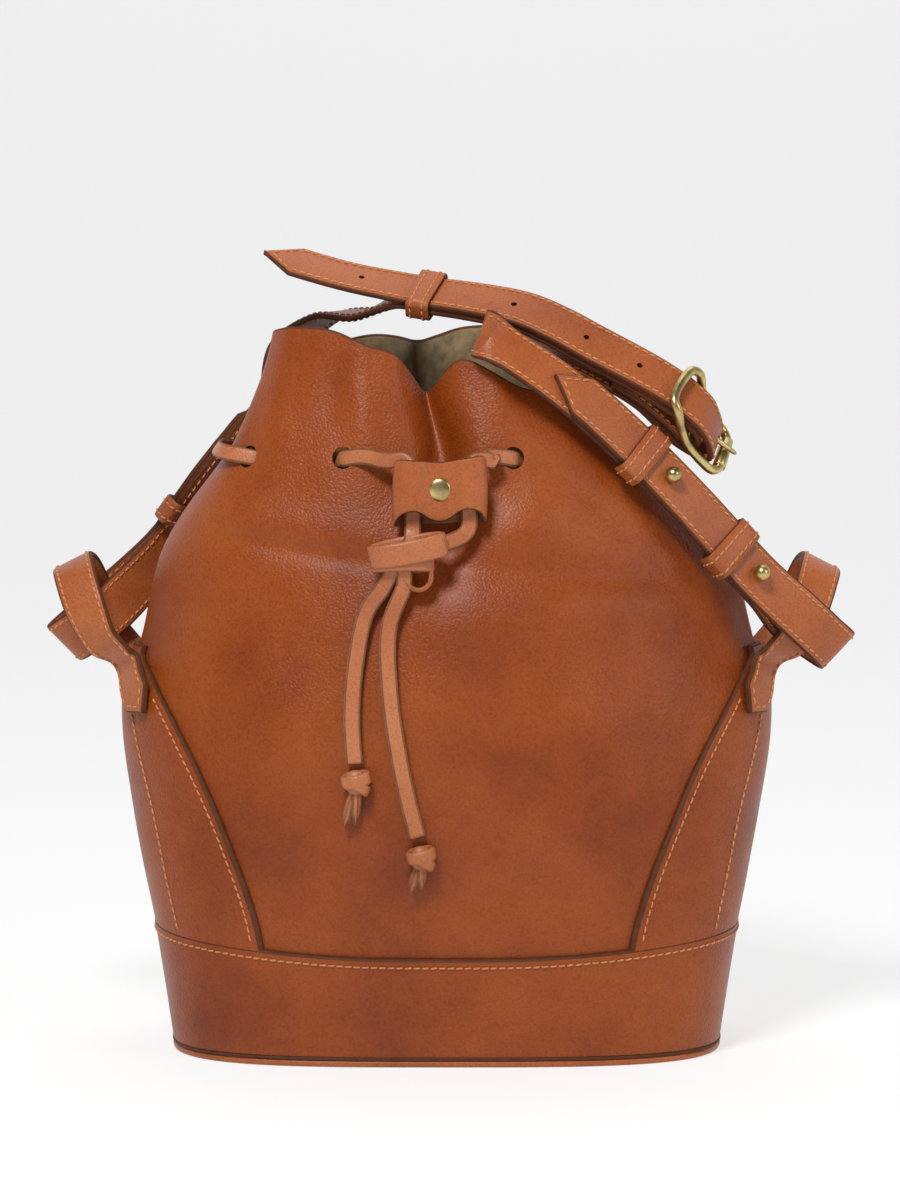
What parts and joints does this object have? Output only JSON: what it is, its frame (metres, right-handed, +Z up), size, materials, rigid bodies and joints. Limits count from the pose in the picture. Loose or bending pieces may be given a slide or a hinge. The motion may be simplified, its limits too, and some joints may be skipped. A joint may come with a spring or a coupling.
{
  "type": "bucket bag",
  "caption": "Cognac leather drawstring bucket bag with a stiff base, stitched side gussets, side loops and a buckled shoulder strap lying gathered over its mouth.",
  "frame": {"origin": "Middle of the underside of the base, on the plane that the bag stands on", "axes": "+Z up, -Y out of the front with the slider and tails, +X to the side of the buckle"},
  "size_m": [0.3445, 0.1681, 0.3374],
  "materials": {
    "cognac_leather": "semi-gloss pebbled grain",
    "strap_leather": "smooth semi-gloss, stitched edges",
    "lace_leather": "smooth, with raw suede back",
    "stiffener_board": "olive-brown suede over board",
    "antique_brass": "aged, satin"
  },
  "bodies": {
    "bag": {"front_panel": "cognac_leather", "back_panel": "cognac_leather", "base_band": "cognac_leather", "base_panel": "cognac_leather", "base_board": "stiffener_board", "gusset_right": "cognac_leather", "gusset_left": "cognac_leather", "side_loop_right": "strap_leather", "side_loop_left": "strap_leather", "drawstring_neck": "lace_leather", "drawstring_knot": "lace_leather"},
    "slider_assembly": {"slider": "strap_leather", "slider_rivet_cap": "antique_brass", "slider_rivet_back": "antique_brass"},
    "tail_left": {"drawstring_tail_left": "lace_leather", "tail_knot_left": "lace_leather"},
    "tail_right": {"drawstring_tail_right": "lace_leather", "tail_knot_right": "lace_leather"},
    "shoulder_strap": {"strap_tail_side": "strap_leather", "strap_buckle_side": "strap_leather", "stud_right_upper": "antique_brass", "stud_right_lower": "antique_brass", "stud_left": "antique_brass"},
    "keeper_right_upper": {"keeper_right_upper": "strap_leather"},
    "keeper_right_lower": {"keeper_right_lower": "strap_leather"},
    "keeper_tail": {"keeper_tail": "strap_leather"},
    "keeper_left": {"keeper_left": "strap_leather"},
    "buckle_frame": {"buckle_frame": "antique_brass"},
    "buckle_prong": {"buckle_prong": "antique_brass"},
    "buckle_roller": {"buckle_roller": "antique_brass"}
  },
  "joints": [
    {"name": "slider_slide", "type": "slide", "parent": "bag", "child": "slider_assembly", "axis": [0, 0, -1], "range_m": [0, 0.0015]},
    {"name": "tail_left_swing", "type": "hinge", "parent": "bag", "child": "tail_left", "pos_m": [-0.0255, -0.0767, 0.2], "axis": [-1, 0, 0], "range_deg": [0, 60]},
    {"name": "tail_right_swing", "type": "hinge", "parent": "bag", "child": "tail_right", "pos_m": [-0.0175, -0.0782, 0.2], "axis": [-1, 0, 0], "range_deg": [0, 60]},
    {"name": "strap_lift", "type": "slide", "parent": "bag", "child": "shoulder_strap", "axis": [0, 0, 1], "range_m": [0, 0.0015]},
    {"name": "keeper_right_upper_slide", "type": "slide", "parent": "shoulder_strap", "child": "keeper_right_upper", "axis": [0.7086, 0.1158, -0.696], "range_m": [-0.0015, 0.0015]},
    {"name": "keeper_right_lower_slide", "type": "slide", "parent": "shoulder_strap", "child": "keeper_right_lower", "axis": [0.6668, 0.1394, -0.7321], "range_m": [-0.0015, 0.001]},
    {"name": "keeper_tail_slide", "type": "slide", "parent": "shoulder_strap", "child": "keeper_tail", "axis": [0.9476, -0.2695, -0.1716], "range_m": [-0.0015, 0.0015]},
    {"name": "keeper_left_slide", "type": "slide", "parent": "shoulder_strap", "child": "keeper_left", "axis": [-0.4963, 0.2332, -0.8363], "range_m": [-0.0015, 0.0015]},
    {"name": "buckle_pivot", "type": "hinge", "parent": "shoulder_strap", "child": "buckle_frame", "pos_m": [0.104, -0.03, 0.264], "axis": [0.3247, 0.7361, 0.5939], "range_deg": [0, 6]},
    {"name": "prong_pivot", "type": "hinge", "parent": "shoulder_strap", "child": "buckle_prong", "pos_m": [0.104, -0.03, 0.264], "axis": [-0.3247, -0.7361, -0.5939], "range_deg": [0, 2]},
    {"name": "roller_spin", "type": "hinge", "parent": "buckle_frame", "child": "buckle_roller", "pos_m": [0.11574, -0.0237, 0.25136], "axis": [0.2415, 0.7511, 0.6144], "continuous": true}
  ]
}
